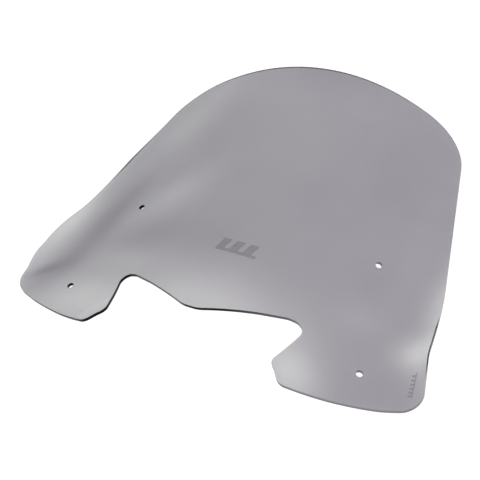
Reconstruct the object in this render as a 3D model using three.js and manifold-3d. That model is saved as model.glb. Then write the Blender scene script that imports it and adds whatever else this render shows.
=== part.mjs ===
// Windshield screen for a scooter: one heat-formed acrylic sheet, trimmed and drilled.
// Millimetres. X runs across the screen, Y from its lower edge to its top edge, Z up.
// The screen lies on its hollow side, the way it is laid on a bench.
import * as THREE from "three";
import { mergeVertices } from "three/addons/utils/BufferGeometryUtils.js";
import Module from "manifold-3d";

// ---- the sheet ----
const sheetThickness = 4;
const chordLength = 367; // beak to top edge along the middle line
const centreSag = 13; // how far the middle line dips below that chord
const crownRadiusAtBeak = 283; // crossways bend at the lower edge
const crownRadiusAtTop = 350; // crossways bend at the top edge

// ---- the sides turn back outward, most of all beside the wings ----
const flareStart = 95; // from the middle line
const flareReach = 120; // width over which flareRise is measured
const flareRise = 52;
const flareFadeFrom = 192; // the flare is full below this height
const flareFadeTo = 440; // and would be gone at this one

// ---- the fold that sets off the ear on each wing ----
const foldX = 204; // where the curved fold line comes nearest the middle
const foldY = 42;
const foldSpanBelow = 45; // how openly the fold line curves away, each side of foldY
const foldSpanAbove = 290;
const earSlope = 0.66;
const foldSoftness = 9.5;

// ---- the hollow above each notch ----
const dipDepth = 8.5;
const dipX = 106;
const dipY = 12;
const dipSpread = 39;

// ---- trim line, right half: the corners in order and the radius each is rounded to ----
const topY = 367;
const trimCorners = [
  { x: 66, y: topY, radius: 490 }, // top edge
  { x: 137.5, y: 348, radius: 100 },
  { x: 182.5, y: 328.5, radius: 70 }, // shoulder
  { x: 222, y: 87, radius: 570 }, // side
  { x: 223, y: 39.5, radius: 69 }, // ear
  { x: 232.5, y: -15.5, radius: 23 }, // wing tip
  { x: 196, y: -26.5, radius: 79 },
  { x: 138.5, y: -40, radius: 510 }, // wing lower edge
  { x: 107.5, y: -44.5, radius: 10 }, // inner end of the wing
  { x: 99, y: -32, radius: 17 },
  { x: 92, y: -26, radius: 10.5 },
  { x: 108, y: 29.5, radius: 10 }, // notch
  { x: 87.5, y: 28, radius: 17 },
  { x: 61.5, y: 18.5, radius: 150 },
  { x: 8, y: -3, radius: 28 }, // beak
];

// ---- fixing holes, right half ----
const holeDiameter = 7;
const fixingHoles = [
  { x: 167, y: 4 },
  { x: 144.5, y: 130 },
];

// ---- printed marks: plain combs of bars ----
const inkThickness = 0.3;
const inkGap = 0.3; // clearance left between the ink and the sheet
const centreMark = {
  x: 10, y: 83.5, turn: 0, length: 46, bar: 4, teeth: 3, toothWidth: 9.5, toothHeight: 13, slant: 4,
};
const sideMark = {
  x: 216.5, y: 8, turn: 95, length: 25, bar: 1.2, teeth: 6, toothWidth: 2.3, toothHeight: 3, slant: 0,
};

// ---- how finely the curved bodies are divided ----
const sheetColumns = 46;
const sheetRows = 44;
const sideCrowding = 0.25; // how much closer the columns get toward the sides
const wingCrowding = 0.25; // how much closer the rows get toward the wings
const arcSteps = 4;
const holeFacets = 24;
const blankMargin = 12; // how far the formed blank reaches past the trim line

function smoothStep(value, from, to) {
  const t = THREE.MathUtils.clamp((value - from) / (to - from), 0, 1);
  return t * t * (3 - 2 * t);
}

// Height of the sheet's middle surface above the beak.
function formedHeight(x, y) {
  const across = Math.abs(x);
  const along = y / chordLength;
  const middleLine = -4 * centreSag * along * (1 - along);

  const blend = THREE.MathUtils.clamp(along, 0, 1);
  const radius = 1 / THREE.MathUtils.lerp(1 / crownRadiusAtBeak, 1 / crownRadiusAtTop, blend);
  const crown = Math.sqrt(radius * radius - across * across) - radius;

  const flareShare = 1 - smoothStep(y, flareFadeFrom, flareFadeTo);
  const flare = flareRise * flareShare * (Math.max(across - flareStart, 0) / flareReach) ** 3;

  const foldSpan = y < foldY ? foldSpanBelow : foldSpanAbove;
  const pastFold = across - foldX - (y - foldY) ** 2 / foldSpan;
  const ear = (earSlope * (pastFold + Math.hypot(pastFold, foldSoftness))) / 2;

  const fromDip = Math.hypot(across - dipX, y - dipY) / dipSpread;
  const dip = dipDepth * Math.exp(-fromDip * fromDip / 2);

  return middleLine + crown + flare + ear - dip;
}

// Upward unit normal of the middle surface.
function formedNormal(x, y) {
  const step = 0.5;
  const slopeX = (formedHeight(x + step, y) - formedHeight(x - step, y)) / (2 * step);
  const slopeY = (formedHeight(x, y + step) - formedHeight(x, y - step)) / (2 * step);
  return new THREE.Vector3(-slopeX, -slopeY, 1).normalize();
}

// The point over (x, y), moved off the middle surface along its normal.
function formedPoint(x, y, offset) {
  return new THREE.Vector3(x, y, formedHeight(x, y)).addScaledVector(formedNormal(x, y), offset);
}

// A closed outline with its corners rounded to their radii.
function roundedOutline(corners) {
  const outline = new THREE.Shape();
  corners.forEach((corner, index) => {
    const before = corners[(index + corners.length - 1) % corners.length];
    const after = corners[(index + 1) % corners.length];
    const here = new THREE.Vector2(corner.x, corner.y);
    const toBefore = new THREE.Vector2(before.x, before.y).sub(here).normalize();
    const toAfter = new THREE.Vector2(after.x, after.y).sub(here).normalize();
    const halfAngle = Math.acos(toBefore.dot(toAfter)) / 2;
    const bisector = toBefore.clone().add(toAfter).normalize();
    const centre = here.clone().addScaledVector(bisector, corner.radius / Math.sin(halfAngle));
    const tangent = corner.radius / Math.tan(halfAngle);
    const start = here.clone().addScaledVector(toBefore, tangent).sub(centre);
    const end = here.clone().addScaledVector(toAfter, tangent).sub(centre);
    const clockwise = toBefore.cross(toAfter) > 0;
    outline.absarc(centre.x, centre.y, corner.radius, start.angle(), end.angle(), clockwise);
  });
  return outline;
}

// A comb: a bar along X with teeth standing on it, leaning sideways by the slant.
function combOutline(mark) {
  const left = -mark.length / 2;
  const bottom = -(mark.bar + mark.toothHeight) / 2;
  const shoulder = bottom + mark.bar;
  const pitch = mark.length / mark.teeth;
  const outline = new THREE.Shape();
  outline.moveTo(left, bottom);
  outline.lineTo(-left, bottom);
  outline.lineTo(-left, shoulder);
  for (let tooth = mark.teeth - 1; tooth >= 0; tooth -= 1) {
    const foot = left + pitch * tooth;
    outline.lineTo(foot + mark.toothWidth, shoulder);
    outline.lineTo(foot + mark.toothWidth + mark.slant, shoulder + mark.toothHeight);
    outline.lineTo(foot + mark.slant, shoulder + mark.toothHeight);
    outline.lineTo(foot, shoulder);
  }
  return outline;
}

const wasm = await Module();
wasm.setup();

function toSolid(geometry) {
  const bare = geometry.clone();
  bare.deleteAttribute("normal");
  bare.deleteAttribute("uv");
  const welded = mergeVertices(bare, 1e-4);
  return new wasm.Manifold(new wasm.Mesh({
    numProp: 3,
    vertProperties: new Float32Array(welded.attributes.position.array),
    triVerts: new Uint32Array(welded.index.array),
  }));
}

function toGeometry(solid) {
  const mesh = solid.getMesh();
  const geometry = new THREE.BufferGeometry();
  geometry.setAttribute("position", new THREE.BufferAttribute(mesh.vertProperties, 3));
  geometry.setIndex(new THREE.BufferAttribute(mesh.triVerts, 1));
  return geometry;
}

// A tall prism over an outline, for trimming formed slabs straight down.
function trimmer(outline) {
  const tall = 300;
  const prism = new THREE.ExtrudeGeometry(outline, {
    depth: tall, bevelEnabled: false, curveSegments: arcSteps,
  });
  return prism.translate(0, 0, -tall / 2);
}

// The formed sheet before trimming. Its columns close up toward the sides and its rows
// toward the wings, where it bends most.
function formedBlank() {
  const halfWidth = Math.max(...trimCorners.map((corner) => corner.x)) + blankMargin;
  const low = Math.min(...trimCorners.map((corner) => corner.y)) - blankMargin;
  const high = topY + blankMargin;
  const blank = new THREE.BoxGeometry(2, 1, sheetThickness, sheetColumns, sheetRows, 1);
  const position = blank.attributes.position;
  for (let index = 0; index < position.count; index += 1) {
    const across = position.getX(index);
    const along = position.getY(index) + 0.5;
    const x = halfWidth * across * (1 + sideCrowding * (1 - across * across));
    const y = low + (high - low) * along * (1 - wingCrowding * (1 - along));
    const point = formedPoint(x, y, position.getZ(index));
    position.setXYZ(index, point.x, point.y, point.z);
  }
  return blank;
}

function drill(x, y) {
  const long = 10 * sheetThickness;
  const bit = new THREE.CylinderGeometry(holeDiameter / 2, holeDiameter / 2, long, holeFacets);
  const axis = formedNormal(x, y);
  bit.applyQuaternion(new THREE.Quaternion().setFromUnitVectors(new THREE.Vector3(0, 1, 0), axis));
  const centre = formedPoint(x, y, 0);
  return bit.translate(centre.x, centre.y, centre.z);
}

function screenSheet() {
  const mirrored = trimCorners.map((corner) => ({ ...corner, x: -corner.x })).reverse();
  const outline = roundedOutline([...trimCorners, ...mirrored]);
  let sheet = toSolid(formedBlank()).intersect(toSolid(trimmer(outline)));
  for (const hole of fixingHoles) {
    for (const side of [-1, 1]) {
      sheet = sheet.subtract(toSolid(drill(side * hole.x, hole.y)));
    }
  }
  return toGeometry(sheet);
}

// A film of ink that follows the outer face, cut to a comb.
function printedMark(mark) {
  const inkTop = toSolid(formedBlank().translate(0, 0, inkGap + inkThickness));
  const inkUnderside = toSolid(formedBlank().translate(0, 0, inkGap));
  const cutter = trimmer(combOutline(mark));
  cutter.rotateZ(THREE.MathUtils.degToRad(mark.turn)).translate(mark.x, mark.y, 0);
  return toGeometry(inkTop.subtract(inkUnderside).intersect(toSolid(cutter)));
}

const smokedAcrylic = { color: 0x9c999f, roughness: 0.12, metalness: 0 };
const printInk = { color: 0x3a383d, roughness: 0.5, metalness: 0 };

const pieces = [
  { name: "screen_sheet", geometry: screenSheet(), finish: smokedAcrylic },
  { name: "centre_mark", geometry: printedMark(centreMark), finish: printInk },
  { name: "side_mark", geometry: printedMark(sideMark), finish: printInk },
];

// Stand the sheet on Z = 0 with the middle of its length over the origin.
const sheetBox = new THREE.Box3().setFromBufferAttribute(pieces[0].geometry.attributes.position);
const middle = sheetBox.getCenter(new THREE.Vector3());

const part = new THREE.Group();
part.name = "windshield_screen";
for (const piece of pieces) {
  piece.geometry.translate(0, -middle.y, -sheetBox.min.z);
  const mesh = new THREE.Mesh(piece.geometry, new THREE.MeshStandardMaterial(piece.finish));
  mesh.name = piece.name;
  part.add(mesh);
}

export default part;
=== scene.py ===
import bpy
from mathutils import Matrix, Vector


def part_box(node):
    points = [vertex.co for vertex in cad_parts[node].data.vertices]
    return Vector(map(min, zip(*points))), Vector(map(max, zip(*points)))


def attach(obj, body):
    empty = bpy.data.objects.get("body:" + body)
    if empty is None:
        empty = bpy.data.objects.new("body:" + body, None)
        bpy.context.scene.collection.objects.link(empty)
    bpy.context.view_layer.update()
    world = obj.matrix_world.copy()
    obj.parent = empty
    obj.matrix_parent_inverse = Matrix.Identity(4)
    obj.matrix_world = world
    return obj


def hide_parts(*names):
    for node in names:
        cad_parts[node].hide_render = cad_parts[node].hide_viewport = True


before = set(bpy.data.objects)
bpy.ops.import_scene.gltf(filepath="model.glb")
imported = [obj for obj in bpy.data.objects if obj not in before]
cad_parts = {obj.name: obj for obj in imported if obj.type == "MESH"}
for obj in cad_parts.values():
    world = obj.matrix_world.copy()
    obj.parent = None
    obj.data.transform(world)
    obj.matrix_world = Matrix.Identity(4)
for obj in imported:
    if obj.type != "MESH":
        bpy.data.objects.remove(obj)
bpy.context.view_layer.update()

import math

import bpy
import numpy as np
from mathutils import Matrix, Vector
from mathutils.geometry import delaunay_2d_cdt

# The screen is drawn in millimetres in the frame it was formed in, with the beak at the
# origin, and moved to the part's own frame at the end. These repeat the dimensions of
# part.mjs.
MM = 0.001
SHEET_THICKNESS = 4.0
CHORD_LENGTH = 367.0
CENTRE_SAG = 13.0
CROWN_RADIUS_AT_BEAK = 283.0
CROWN_RADIUS_AT_TOP = 350.0
FLARE_START = 95.0
FLARE_REACH = 120.0
FLARE_RISE = 52.0
FLARE_FADE_FROM = 192.0
FLARE_FADE_TO = 440.0
FOLD_X = 204.0
FOLD_Y = 42.0
FOLD_SPAN_BELOW = 45.0
FOLD_SPAN_ABOVE = 290.0
EAR_SLOPE = 0.66
FOLD_SOFTNESS = 9.5
DIP_DEPTH = 8.5
DIP_X = 106.0
DIP_Y = 12.0
DIP_SPREAD = 39.0

# Trim line, right half: x, y and the radius each corner is rounded to.
TOP_Y = 367.0
TRIM_CORNERS = [
    (66, TOP_Y, 490),
    (137.5, 348, 100),
    (182.5, 328.5, 70),
    (222, 87, 570),
    (223, 39.5, 69),
    (232.5, -15.5, 23),
    (196, -26.5, 79),
    (138.5, -40, 510),
    (107.5, -44.5, 10),
    (99, -32, 17),
    (92, -26, 10.5),
    (108, 29.5, 10),
    (87.5, 28, 17),
    (61.5, 18.5, 150),
    (8, -3, 28),
]
HOLE_RADIUS = 3.5
HOLES = [(167, 4), (144.5, 130)]

# How far the cut edges are softened: the trim line a little, the holes' rims more.
EDGE_ROUNDING = 0.2
HOLE_ROUNDING = 0.6

# How finely the sheet is drawn.
GRID_STEP = 3.6
EDGE_STEP = 2.4
HOLE_STEPS = 40
ARC_STEPS = 4
NORMAL_STEP = 0.25
GRID_CLEARANCE = 0.7  # room between the grid and an outline, in grid steps
MERGE_DISTANCE = 1e-7

# The smoke tint, greyer on the left and more violet on the right, and the paler tint
# that the painted light and a random mottle move it toward.
SMOKE_LEFT = (0.335, 0.328, 0.348, 1)
SMOKE_RIGHT = (0.327, 0.308, 0.343, 1)
SMOKE_PAINTED_LIGHT_AND_MOTTLE = (0.717, 0.720, 0.715, 1)
SMOKE_TURNS = (-0.20, 0.16)  # X in metres, from the left tint to the right one
TINT_MOTTLE = 0.12
ACRYLIC_IOR = 1.49

# The cut edge: nearly black, turning paler with a painted highlight between two values
# of
# X in metres, and what it lets straight out.
EDGE_DARK = (0.001, 0.001, 0.0012, 1)
EDGE_LESS_DARK = (0.005, 0.0045, 0.0055, 1)
EDGE_PAINTED_HIGHLIGHT = (0.22, 0.215, 0.23, 1)
EDGE_HIGHLIGHT_SPAN = (0.03, 0.12)
EDGE_STRAIGHT_THROUGH = (0.68, 0.68, 0.70, 1)
EDGE_LOWER_HALF = (0.03, -0.01)  # Y in metres, from the upper half to the lower one
RIGHT_EAR = (0.222, -0.112, 0)  # metres, in the part's frame
RIGHT_EAR_REACH = (0.022, 0.036)

INK_DARK = (0.060, 0.055, 0.070, 1)
INK_WORN = (0.140, 0.130, 0.155, 1)
INK_COVER = 0.18

# Painted light and shade in the smoke tint: paler where light reaches the floor under
# the raised lip, wings and ears and along a few streaks, and darker in painted shade
# along the left fold and its crease, above the lip and at the top edge. x, y, half
# length, half width, turn in degrees and how far it goes toward the pale tint (painted
# shade where negative).
PAINTED_LIGHT_AND_SHADE_CLOUDS = [
    (-142, -14, 55, 38, 12, 0.48),  # left wing
    (5, 7, 100, 42, 0, 0.42),  # lower lip
    (-115, 50, 50, 18, 0, 0.15),
    (112, -28, 32, 26, -60, 0.46),  # right wing, beside the notch
    (-234, 78, 66, 24, 84, 0.78),  # left ear
    (-200, 21, 42, 15, 60, -0.19),  # the left fold
    (-180, 110, 68, 17, 78, -0.20),
    (-213, 13, 20, 5, 49, -0.24),  # its crease, at the tip
    (-75, 92, 85, 24, 0, -0.07),  # the dimmer band above the lip
    (227, 84, 58, 19, 95, 0.58),  # right ear
    (212, 41, 21, 18, 10, 0.47),
    (148, 62, 26, 20, 0, 0.08),
    (180, 150, 95, 28, 88, 0.06),  # right side
    (-110, 145, 54, 30, 50, 0.23),  # a soft streak above the left wing
    (-150, 285, 75, 34, 68, 0.19),  # upper left side
    (-220, 226, 55, 12, 84, 0.15),
    (0, 385, 190, 50, 0, -0.16),  # top edge
]

# Printed marks: combs of bars. The turn is in degrees, and width and height are those
# of a tooth.
CENTRE_MARK = dict(
    x=10, y=83.5, turn=0, length=46, bar=4, teeth=3, width=9.5, height=13, slant=4,
)
SIDE_MARK = dict(
    x=216.5, y=8, turn=95, length=25, bar=1.2, teeth=6, width=2.3, height=3, slant=0,
)
INK_LIFT = 0.04
INK_THICKNESS = 0.08
INK_STEP = 1.5

# The stage. Metres, and degrees for the angles.
FLOOR_REACH = 6.0
FLOOR_DROP = 0.0005
FLOOR_GREYS = (0.34, 0.38)
FLOOR_GLOW = 0.88
FLOOR_GLOW_FADES = (1.0, 3.0)  # distance from the part
SKY_GREYS = [(0.0, 0.62), (0.15, 0.38), (0.85, 0.70)]  # Z of the direction, and grey
KEY_AZIMUTH, KEY_ELEVATION, KEY_SPREAD, KEY_STRENGTH = 255, 52, 45, 0.6
CAMERA_AZIMUTH, CAMERA_ELEVATION, CAMERA_TILT = 36.134, 49.136, -14.898
CAMERA_AIM = (-0.0003, -0.0567, 0.0307)
CAMERA_DISTANCE = 0.8085
CAMERA_LENS = 56.595
CAMERA_SENSOR = 36.0


# ---------------------------------------------------------------- the formed surface

def smooth_step(value, low, high):
    t = np.clip((value - low) / (high - low), 0, 1)
    return t * t * (3 - 2 * t)


def formed_height(x, y):
    """Height of the sheet's middle surface above the beak."""
    across = np.abs(x)
    along = y / CHORD_LENGTH
    middle_line = -4 * CENTRE_SAG * along * (1 - along)

    blend = np.clip(along, 0, 1)
    bend = (1 - blend) / CROWN_RADIUS_AT_BEAK + blend / CROWN_RADIUS_AT_TOP
    crown = np.sqrt(1 / bend**2 - across**2) - 1 / bend

    flare_share = 1 - smooth_step(y, FLARE_FADE_FROM, FLARE_FADE_TO)
    past_start = np.maximum(across - FLARE_START, 0) / FLARE_REACH
    flare = FLARE_RISE * flare_share * past_start**3

    fold_span = np.where(y < FOLD_Y, FOLD_SPAN_BELOW, FOLD_SPAN_ABOVE)
    past_fold = across - FOLD_X - (y - FOLD_Y) ** 2 / fold_span
    ear = EAR_SLOPE * (past_fold + np.hypot(past_fold, FOLD_SOFTNESS)) / 2

    from_dip = np.hypot(across - DIP_X, y - DIP_Y) / DIP_SPREAD
    dip = DIP_DEPTH * np.exp(-from_dip**2 / 2)
    return middle_line + crown + flare + ear - dip


def formed_normals(xy):
    """Upward unit normals of the middle surface at an array of points."""
    x, y = xy[:, 0], xy[:, 1]
    step = NORMAL_STEP
    slope_x = (formed_height(x + step, y) - formed_height(x - step, y)) / (2 * step)
    slope_y = (formed_height(x, y + step) - formed_height(x, y - step)) / (2 * step)
    normals = np.column_stack([-slope_x, -slope_y, np.ones(len(xy))])
    return normals / np.linalg.norm(normals, axis=1)[:, None]


def formed_points(xy, offset=0.0):
    """Points over an array of (x, y), moved off the middle surface along its normal."""
    flat = np.column_stack([xy, formed_height(xy[:, 0], xy[:, 1])])
    return flat + offset * formed_normals(xy)


def painted_light_and_shade_amounts(points):
    """How far the painted light and shade move the tint toward the pale one, at an
    array of points (away from it where negative).
    """
    total = np.zeros(len(points))
    for x, y, half_length, half_width, turn, strength in PAINTED_LIGHT_AND_SHADE_CLOUDS:
        away = points[:, :2] - [x, y]
        along = [math.cos(math.radians(turn)), math.sin(math.radians(turn))]
        ahead = away @ along / half_length
        beside = away @ [-along[1], along[0]] / half_width
        total += strength * np.exp(-(ahead**2 + beside**2))
    return total


# ---------------------------------------------------------------- outlines

def rounded_outline(corners, step):
    """Points along a closed outline with its corners rounded to their radii."""
    places = np.array([corner[:2] for corner in corners], float)
    points = []
    for index, (_, _, radius) in enumerate(corners):
        here = places[index]
        to_before = places[index - 1] - here
        to_after = places[(index + 1) % len(corners)] - here
        to_before /= np.linalg.norm(to_before)
        to_after /= np.linalg.norm(to_after)
        half_angle = math.acos(np.dot(to_before, to_after)) / 2
        bisector = (to_before + to_after) / np.linalg.norm(to_before + to_after)
        centre = here + bisector * radius / math.sin(half_angle)
        tangent = radius / math.tan(half_angle)
        start = here + to_before * tangent - centre
        end = here + to_after * tangent - centre
        first = math.atan2(start[1], start[0])
        sweep = math.remainder(math.atan2(end[1], end[0]) - first, math.tau)
        steps = max(3, math.ceil(abs(sweep) * radius / step))
        for angle in first + sweep * np.arange(steps + 1) / steps:
            toward = np.array([math.cos(angle), math.sin(angle)])
            points.append(centre + radius * toward)
    return subdivided(np.array(points), step)


def subdivided(loop, step):
    """The same closed loop with no stretch longer than the step."""
    points = []
    for here, there in zip(loop, np.roll(loop, -1, axis=0)):
        count = max(1, math.ceil(np.linalg.norm(there - here) / step))
        for share in np.arange(count) / count:
            points.append(here + (there - here) * share)
    return np.array(points)


def trim_outline():
    mirrored = [(-x, y, radius) for x, y, radius in reversed(TRIM_CORNERS)]
    return rounded_outline(TRIM_CORNERS + mirrored, EDGE_STEP)


def hole_outline(x, y):
    """The drilled circle, seen from above: it stands square to the sheet."""
    centre = formed_points(np.array([[x, y]]))[0]
    normal = formed_normals(np.array([[x, y]]))[0]
    side = np.cross(normal, [0, 1, 0])
    side /= np.linalg.norm(side)
    up = np.cross(normal, side)
    angles = math.tau * np.arange(HOLE_STEPS) / HOLE_STEPS
    circle = np.outer(np.cos(angles), side) + np.outer(np.sin(angles), up)
    return (centre + HOLE_RADIUS * circle)[:, :2]


def comb_outline(mark):
    """A bar with teeth standing on it, turned and set in its place."""
    left = -mark["length"] / 2
    bottom = -(mark["bar"] + mark["height"]) / 2
    shoulder = bottom + mark["bar"]
    top = shoulder + mark["height"]
    points = [(left, bottom), (-left, bottom), (-left, shoulder)]
    for tooth in reversed(range(mark["teeth"])):
        foot = left + mark["length"] / mark["teeth"] * tooth
        points.append((foot + mark["width"], shoulder))
        points.append((foot + mark["width"] + mark["slant"], top))
        points.append((foot + mark["slant"], top))
        if tooth:
            points.append((foot, shoulder))
    turn = math.radians(mark["turn"])
    cos, sin = math.cos(turn), math.sin(turn)
    spin = np.array([[cos, -sin], [sin, cos]])
    return np.array(points) @ spin.T + [mark["x"], mark["y"]]


# ---------------------------------------------------------------- meshes

def outward(loop):
    """Unit vectors in the plane, square to a closed loop and pointing out of it."""
    after = np.roll(loop, -1, axis=0)
    ahead = after - loop
    behind = loop - np.roll(loop, 1, axis=0)
    ahead /= np.linalg.norm(ahead, axis=1)[:, None]
    behind /= np.linalg.norm(behind, axis=1)[:, None]
    along = ahead + behind
    along /= np.linalg.norm(along, axis=1)[:, None]
    area = np.sum(loop[:, 0] * after[:, 1] - after[:, 0] * loop[:, 1])
    return np.column_stack([along[:, 1], -along[:, 0]]) * np.sign(area)


def inside(points, loop):
    """Which points lie inside a closed loop, by counting the edges they pass under."""
    found = np.zeros(len(points), bool)
    for (x0, y0), (x1, y1) in zip(loop, np.roll(loop, -1, axis=0)):
        spans = (y0 > points[:, 1]) != (y1 > points[:, 1])
        if not spans.any():
            continue
        cross = x0 + (points[:, 1] - y0) / (y1 - y0) * (x1 - x0)
        found ^= spans & (points[:, 0] < cross)
    return found


def clear_of(points, loop, distance):
    """Which points are further than a distance from every point of a loop."""
    far = np.ones(len(points), bool)
    for place in loop:
        far &= np.hypot(*(points - place).T) > distance
    return far


def filled(outer, holes, step):
    """The points, the triangles and the loop lengths of an outline filled round its
    holes with an even grid."""
    low, high = outer.min(axis=0), outer.max(axis=0)
    rows = np.arange(low[1], high[1], step * math.sqrt(3) / 2)
    grid = []
    for number, y in enumerate(rows):
        shift = step / 2 if number % 2 else 0
        xs = np.arange(0, high[0] + step, step) + shift
        mirrored = -xs[::-1] if shift else -xs[::-1][:-1]
        xs = np.concatenate([mirrored, xs])
        grid.append(np.column_stack([xs, np.full(len(xs), y)]))
    grid = np.concatenate(grid)
    grid = grid[inside(grid, outer)]
    room = GRID_CLEARANCE * step
    grid = grid[clear_of(grid, outer, room)]
    for hole in holes:
        grid = grid[clear_of(grid, hole, room) & ~inside(grid, hole)]

    loops = [outer, *holes]
    points = np.concatenate([*loops, grid])
    edges = []
    first = 0
    for loop in loops:
        count = len(loop)
        edges += [(first + i, first + (i + 1) % count) for i in range(count)]
        first += count
    result = delaunay_2d_cdt([Vector(p) for p in points], edges, [], 0, MERGE_DISTANCE)
    places = np.array([tuple(p) for p in result[0]])
    triangles = np.array(result[2])
    middles = places[triangles].mean(axis=1)
    kept = inside(middles, outer)
    for hole in holes:
        kept &= ~inside(middles, hole)
    source = np.array([ids[0] for ids in result[3]])
    return points, source[triangles[kept]], [len(loop) for loop in loops]


def edge_points(loop, offset, upright):
    """Points over a loop at an offset from the middle surface: straight above it where
    the cut is upright, and otherwise along the surface's normal."""
    if upright:
        loop = loop - offset * formed_normals(loop)[:, :2]
    return formed_points(loop, offset)


def rim_rings(loop, side, low, high, rounding, upright):
    """Rings of points and normals round a cut edge, from the upper face to the lower
    one, with both arrises softened."""
    normals = formed_normals(loop)
    flat = np.column_stack([side, np.zeros(len(loop))])
    if upright:
        out = flat
        down = np.tile([0.0, 0.0, -1.0], (len(loop), 1))
    else:
        out = flat - np.sum(flat * normals, axis=1)[:, None] * normals
        out /= np.linalg.norm(out, axis=1)[:, None]
        down = -normals
    rings = []
    for offset, toward, face in ((high, down, normals), (low, -down, -normals)):
        corner = edge_points(loop, offset, upright)
        start = edge_points(loop - side * rounding, offset, upright)
        end = corner + toward * rounding
        arc = []
        for t in np.arange(ARC_STEPS + 1) / ARC_STEPS:
            place = (1 - t) ** 2 * start + 2 * t * (1 - t) * corner + t**2 * end
            normal = (1 - t) * face + t * out
            normal /= np.linalg.norm(normal, axis=1)[:, None]
            arc.append((place, normal))
        rings += arc if offset == high else arc[::-1]
    return rings


def slab_mesh(name, outer, holes, low, high, rounding, hole_rounding, step):
    """A closed slab bent onto the formed surface between two offsets from its middle,
    trimmed straight down and drilled square. The cut edges take the second material,
    but for the rounded rims of the holes."""
    loops = [outer, *holes]
    sides = [outward(outer)] + [-outward(hole) for hole in holes]
    roundings = [rounding] + [hole_rounding] * len(holes)
    uprights = [True] + [False] * len(holes)
    inset = [loop - side * edge for loop, side, edge in zip(loops, sides, roundings)]
    plan, triangles, counts = filled(inset[0], inset[1:], step)
    total = len(plan)
    upper, lower = formed_points(plan, high), formed_points(plan, low)
    upper[:counts[0]] = edge_points(inset[0], high, True)
    lower[:counts[0]] = edge_points(inset[0], low, True)
    points = [upper, lower]
    point_normals = [formed_normals(plan), -formed_normals(plan)]
    a, b, c = (plan[triangles[:, corner]] for corner in range(3))
    turned = (b - a)[:, 0] * (c - a)[:, 1] - (b - a)[:, 1] * (c - a)[:, 0] < 0
    triangles[turned] = triangles[turned][:, ::-1]
    faces = [tuple(t) for t in triangles]
    faces += [tuple(t[::-1] + total) for t in triangles]
    slots = [0] * len(faces)

    first = 0
    placed = 2 * total
    for loop, side, edge, upright in zip(loops, sides, roundings, uprights):
        count = len(loop)
        ids = [np.arange(first, first + count)]
        rings = rim_rings(loop, side, low, high, edge, upright)
        for ring, ring_normals in rings[1:-1]:
            points.append(ring)
            point_normals.append(ring_normals)
            ids.append(np.arange(placed, placed + count))
            placed += count
        ids.append(np.arange(first, first + count) + total)
        ahead = np.roll(loop, -1, axis=0) - loop
        forward = np.sum(np.column_stack([ahead[:, 1], -ahead[:, 0]]) * side) > 0
        for row, (above, below) in enumerate(zip(ids, ids[1:])):
            for i in range(count):
                j = (i + 1) % count
                quad = (above[i], below[i], below[j], above[j])
                faces.append(quad if forward else quad[::-1])
                dark = 0 < row < 2 * ARC_STEPS if upright else row == ARC_STEPS
                slots.append(1 if dark else 0)
        first += count

    mesh = bpy.data.meshes.new(name)
    places = (np.concatenate(points) * MM).tolist()
    mesh.from_pydata(places, [], [tuple(int(v) for v in f) for f in faces])
    mesh.polygons.foreach_set("use_smooth", np.ones(len(faces), bool))
    mesh.polygons.foreach_set("material_index", slots)
    mesh.normals_split_custom_set_from_vertices(np.concatenate(point_normals).tolist())
    piece = bpy.data.objects.new(name, mesh)
    bpy.context.scene.collection.objects.link(piece)
    return piece


def to_part_frame(piece, shift):
    piece.data.transform(Matrix.Translation(shift))
    piece.data.update()


# ---------------------------------------------------------------- materials

# Where a Mix node keeps the factor and the two colours, and the mixed colour.
COLOUR_MIX_INPUTS = (0, 6, 7)
COLOUR_MIX_OUTPUT = 2


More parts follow.
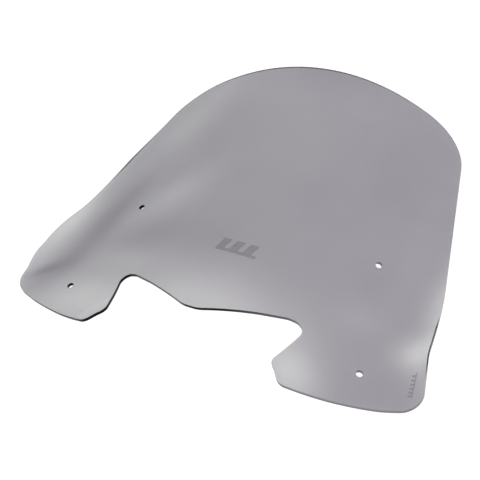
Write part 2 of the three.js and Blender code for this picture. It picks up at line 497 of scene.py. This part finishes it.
class Nodes:
    """A short way to add nodes to a material and join them."""

    def __init__(self, name):
        self.material = bpy.data.materials.new(name)
        self.material.use_nodes = True
        self.tree = self.material.node_tree
        self.tree.nodes.clear()

    def add(self, kind, settings=None, **inputs):
        """A node with its settings, and its inputs by name with _ for each space."""
        node = self.tree.nodes.new(kind)
        for key, value in (settings or {}).items():
            setattr(node, key, value)
        for key, value in inputs.items():
            self.put(node, key.replace("_", " "), value)
        return node

    def put(self, node, key, value):
        """Sets an input, by its name or by its number, or links it to an output."""
        socket = node.inputs[key]
        if isinstance(value, bpy.types.NodeSocket):
            self.tree.links.new(value, socket)
        else:
            socket.default_value = value

    def object_place(self):
        return self.add("ShaderNodeTexCoord").outputs["Object"]

    def maths(self, operation, first, second):
        node = self.add("ShaderNodeMath", {"operation": operation})
        self.put(node, 0, first)
        self.put(node, 1, second)
        return node.outputs[0]

    def vector_maths(self, operation, first, second):
        node = self.add("ShaderNodeVectorMath", {"operation": operation})
        self.put(node, 0, first)
        self.put(node, 1, second)
        return node

    def noise(self, place, **inputs):
        return self.add("ShaderNodeTexNoise", Vector=place, **inputs).outputs["Fac"]

    def map_range(self, value, source=(0.0, 1.0), result=(0.0, 1.0)):
        node = self.add("ShaderNodeMapRange", Value=value, From_Min=source[0],
                        From_Max=source[1], To_Min=result[0], To_Max=result[1])
        return node.outputs["Result"]

    def bump(self, height, **inputs):
        return self.add("ShaderNodeBump", Height=height, **inputs).outputs["Normal"]

    def ramp(self, factor, low, high, low_at=0.0, high_at=1.0):
        node = self.add("ShaderNodeValToRGB", Fac=factor)
        for stop, colour, position in zip(node.color_ramp.elements, (low, high),
                                          (low_at, high_at)):
            stop.position = position
            stop.color = colour
        return node.outputs["Color"]

    def mix_colours(self, factor, first, second, clamp=True):
        node = self.add("ShaderNodeMix", {"data_type": "RGBA", "clamp_factor": clamp})
        for number, value in zip(COLOUR_MIX_INPUTS, (factor, first, second)):
            self.put(node, number, value)
        return node.outputs[COLOUR_MIX_OUTPUT]

    def mix_shaders(self, factor, first, second):
        node = self.add("ShaderNodeMixShader")
        for number, value in enumerate((factor, first, second)):
            self.put(node, number, value)
        return node.outputs["Shader"]

    def principled(self, **inputs):
        return self.add("ShaderNodeBsdfPrincipled", **inputs).outputs["BSDF"]

    def transparent(self, colour):
        return self.add("ShaderNodeBsdfTransparent", Color=colour).outputs["BSDF"]

    def finished(self, shader):
        self.add("ShaderNodeOutputMaterial", Surface=shader)
        return self.material


def smoked_acrylic():
    """Clear grey acrylic whose smoke tint has light and shade painted into it, paler
    where light falls and darker where shade falls, with a random mottle and faint
    handling marks.
    Lamps shine through it."""
    n = Nodes("smoked_acrylic")
    place = n.object_place()
    split = n.add("ShaderNodeSeparateXYZ", Vector=place)
    smoke = n.mix_colours(n.map_range(split.outputs["X"], SMOKE_TURNS),
                          SMOKE_LEFT, SMOKE_RIGHT)
    # Painted light and shade in the tint, kept on the mesh as an attribute.
    painted_light_and_shade_node = n.add("ShaderNodeAttribute", {"attribute_name": "painted_light_and_shade"})
    uneven = n.noise(place, Scale=12.0, Detail=2.0, Roughness=0.5)
    mottle = n.maths("MULTIPLY", n.maths("SUBTRACT", uneven, 0.5), TINT_MOTTLE)
    # The painted light and shade, with the random mottle of the tint added.
    painted_light_and_shade = n.maths("ADD", painted_light_and_shade_node.outputs["Fac"], mottle)
    tint = n.mix_colours(painted_light_and_shade, smoke, SMOKE_PAINTED_LIGHT_AND_MOTTLE, clamp=False)

    smudge = n.noise(place, Scale=38.0, Detail=5.0, Roughness=0.62)
    rough = n.map_range(smudge, (0.35, 0.75), (0.05, 0.16))
    swell = n.noise(place, Scale=14.0, Detail=1.0)
    ripple = n.bump(swell, Strength=0.25, Distance=0.0004)
    stretch = n.add("ShaderNodeMapping", Vector=place, Scale=(900.0, 40.0, 900.0),
                    Rotation=(0, 0, 0.5))
    hairs = n.noise(stretch.outputs["Vector"], Scale=1.0, Detail=2.0)
    fine = n.bump(hairs, Strength=0.04, Distance=0.00005, Normal=ripple)

    body = n.principled(Base_Color=tint, Roughness=rough, IOR=ACRYLIC_IOR, Normal=fine,
                        Transmission_Weight=1.0)
    # Refraction takes the square root of the tint at each face, so lamp rays do too.
    one_face = n.add("ShaderNodeGamma", Color=tint, Gamma=0.5).outputs["Color"]
    lamp_ray = n.add("ShaderNodeLightPath").outputs["Is Shadow Ray"]
    return n.finished(n.mix_shaders(lamp_ray, body, n.transparent(one_face)))


def cut_edge():
    """The routed and polished edge. Light that enters here runs a long way through the
    smoke tint, so from outside it looks nearly black, with a painted highlight that
    makes it paler on the right. From inside it is clear; round the lower half, but for
    the right ear, it lets the light straight out."""
    n = Nodes("cut_edge")
    place = n.object_place()
    split = n.add("ShaderNodeSeparateXYZ", Vector=place)
    chatter = n.noise(place, Scale=260.0, Detail=3.0)
    rough = n.map_range(chatter, result=(0.15, 0.35))
    bump = n.bump(chatter, Strength=0.15, Distance=0.0001)

    shade = n.ramp(chatter, EDGE_DARK, EDGE_LESS_DARK)
    # Painted highlight: the cut edge is paler toward the right.
    rightward = n.map_range(split.outputs["X"], EDGE_HIGHLIGHT_SPAN)
    colour = n.mix_colours(rightward, shade, EDGE_PAINTED_HIGHLIGHT)
    outside = n.principled(Base_Color=colour, Roughness=rough, Normal=bump,
                           Specular_IOR_Level=0.05)

    glass = n.principled(Base_Color=SMOKE_LEFT, Roughness=rough, IOR=ACRYLIC_IOR,
                         Normal=bump, Transmission_Weight=1.0)
    lower = n.map_range(split.outputs["Y"], EDGE_LOWER_HALF)
    flat = n.vector_maths("MULTIPLY", place, (1, 1, 0)).outputs["Vector"]
    off_ear = n.vector_maths("DISTANCE", flat, RIGHT_EAR).outputs["Value"]
    beyond = n.map_range(off_ear, RIGHT_EAR_REACH)
    within = n.mix_shaders(n.maths("MULTIPLY", lower, beyond), glass,
                           n.transparent(EDGE_STRAIGHT_THROUGH))

    from_inside = n.add("ShaderNodeNewGeometry").outputs["Backfacing"]
    return n.finished(n.mix_shaders(from_inside, outside, within))


def print_ink():
    """Thin dark ink, worn a little so that the sheet's grey shows through."""
    n = Nodes("print_ink")
    wear = n.noise(n.object_place(), Scale=420.0, Detail=4.0, Roughness=0.7)
    shade = n.ramp(wear, INK_DARK, INK_WORN, 0.35, 0.75)
    rough = n.map_range(wear, result=(0.3, 0.6))
    return n.finished(n.principled(Base_Color=shade, Roughness=rough, Alpha=INK_COVER))


def studio_floor():
    """The pale top of a light table: it glows evenly round the part and fades out
    further away, and takes a little light from above."""
    n = Nodes("studio_floor")
    place = n.object_place()
    cloud = n.noise(place, Scale=2.0, Detail=2.0)
    shade = n.ramp(cloud, *((grey, grey, grey, 1) for grey in FLOOR_GREYS))
    distance = n.add("ShaderNodeVectorMath", {"operation": "LENGTH"})
    n.put(distance, 0, place)
    glow = n.map_range(distance.outputs["Value"], FLOOR_GLOW_FADES, (FLOOR_GLOW, 0.0))
    return n.finished(n.principled(Base_Color=shade, Roughness=0.9,
                                   Emission_Color=(1, 1, 1, 1), Emission_Strength=glow))


# ---------------------------------------------------------------- pieces

def screen():
    holes = [hole_outline(side * x, y) for x, y in HOLES for side in (-1, 1)]
    half = SHEET_THICKNESS / 2
    piece = slab_mesh("screen", trim_outline(), holes, -half, half,
                      EDGE_ROUNDING, HOLE_ROUNDING, GRID_STEP)
    vertices = np.array([v.co for v in piece.data.vertices]) / MM
    # The painted light and shade of the tint, for the material to read.
    painted_light_and_shade = piece.data.attributes.new("painted_light_and_shade", "FLOAT", "POINT")
    painted_light_and_shade.data.foreach_set("value", painted_light_and_shade_amounts(vertices))
    piece.data.materials.append(smoked_acrylic())
    piece.data.materials.append(cut_edge())
    return piece


def printed_mark(name, mark, ink):
    loop = subdivided(comb_outline(mark), INK_STEP)
    low = SHEET_THICKNESS / 2 + INK_LIFT
    high = low + INK_THICKNESS
    piece = slab_mesh(name, loop, [], low, high, INK_THICKNESS / 4, 0, INK_STEP)
    piece.data.materials.append(ink)
    piece.data.materials.append(ink)
    return piece


# ---------------------------------------------------------------- stage

def studio():
    """A large floor to stage the part on, and a plain grey world."""
    floor_mesh = bpy.data.meshes.new("floor")
    corners = [(-1, -1), (1, -1), (1, 1), (-1, 1)]
    floor_mesh.from_pydata([(x * FLOOR_REACH, y * FLOOR_REACH, 0) for x, y in corners],
                           [], [(0, 1, 2, 3)])
    floor = bpy.data.objects.new("floor", floor_mesh)
    floor.location.z = -FLOOR_DROP
    floor.data.materials.append(studio_floor())
    bpy.context.scene.collection.objects.link(floor)

    world = bpy.data.worlds.new("studio")
    world.use_nodes = True
    tree = world.node_tree
    tree.nodes.clear()
    place = tree.nodes.new("ShaderNodeTexCoord")
    split = tree.nodes.new("ShaderNodeSeparateXYZ")
    ramp = tree.nodes.new("ShaderNodeValToRGB")
    back = tree.nodes.new("ShaderNodeBackground")
    out = tree.nodes.new("ShaderNodeOutputWorld")
    stops = ramp.color_ramp.elements
    for stop, (position, grey) in zip(stops, (SKY_GREYS[0], SKY_GREYS[-1])):
        stop.position = position
        stop.color = (grey, grey, grey, 1)
    for position, grey in SKY_GREYS[1:-1]:
        stops.new(position).color = (grey, grey, grey, 1)
    tree.links.new(place.outputs["Generated"], split.inputs[0])
    tree.links.new(split.outputs["Z"], ramp.inputs[0])
    tree.links.new(ramp.outputs["Color"], back.inputs["Color"])
    tree.links.new(back.outputs[0], out.inputs["Surface"])
    bpy.context.scene.world = world


def broad_lamp(name, azimuth, elevation, spread, strength):
    """An even light from one side, soft as a large diffuser far off. Degrees."""
    light = bpy.data.lights.new(name, "SUN")
    light.angle = math.radians(spread)
    light.energy = strength
    lamp = bpy.data.objects.new(name, light)
    a, e = math.radians(azimuth), math.radians(elevation)
    toward = Vector((math.cos(a) * math.cos(e), math.sin(a) * math.cos(e), math.sin(e)))
    lamp.rotation_euler = toward.to_track_quat("Z", "Y").to_euler()
    bpy.context.scene.collection.objects.link(lamp)


def camera():
    """Seen from the right front corner, half way to overhead, and tilted."""
    azimuth = math.radians(CAMERA_AZIMUTH)
    elevation = math.radians(CAMERA_ELEVATION)
    back = Vector((math.sin(azimuth) * math.cos(elevation),
                   -math.cos(azimuth) * math.cos(elevation), math.sin(elevation)))
    level = Vector((0, 0, 1)).cross(back).normalized()
    right = Matrix.Rotation(math.radians(CAMERA_TILT), 3, back) @ level
    up = back.cross(right)
    data = bpy.data.cameras.new("camera")
    data.sensor_width = CAMERA_SENSOR
    data.lens = CAMERA_LENS
    seen = bpy.data.objects.new("camera", data)
    seen.matrix_world = Matrix((right, up, back)).transposed().to_4x4()
    seen.location = Vector(CAMERA_AIM) + back * CAMERA_DISTANCE
    bpy.context.scene.collection.objects.link(seen)
    bpy.context.scene.camera = seen


# ---------------------------------------------------------------- the scene

camera()
studio()
broad_lamp("key", KEY_AZIMUTH, KEY_ELEVATION, KEY_SPREAD, KEY_STRENGTH)
bpy.context.scene.view_settings.view_transform = "Standard"

sheet = screen()
ink = print_ink()
centre_print = printed_mark("centre_print", CENTRE_MARK, ink)
side_print = printed_mark("side_print", SIDE_MARK, ink)

formed_low = np.array([v.co for v in sheet.data.vertices]).min(axis=0)
cad_low, cad_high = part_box("screen_sheet")
trim_y = trim_outline()[:, 1]
middle_y = (trim_y.min() + trim_y.max()) / 2 * MM
shift = Vector((0, (cad_low.y + cad_high.y) / 2 - middle_y, cad_low.z - formed_low[2]))
for piece, node, slot in (
    (sheet, "screen_sheet", "smoked_acrylic"),
    (centre_print, "centre_mark", "mark_ink"),
    (side_print, "side_mark", "mark_ink"),
):
    to_part_frame(piece, shift)
    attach(piece, "root")
    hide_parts(node)
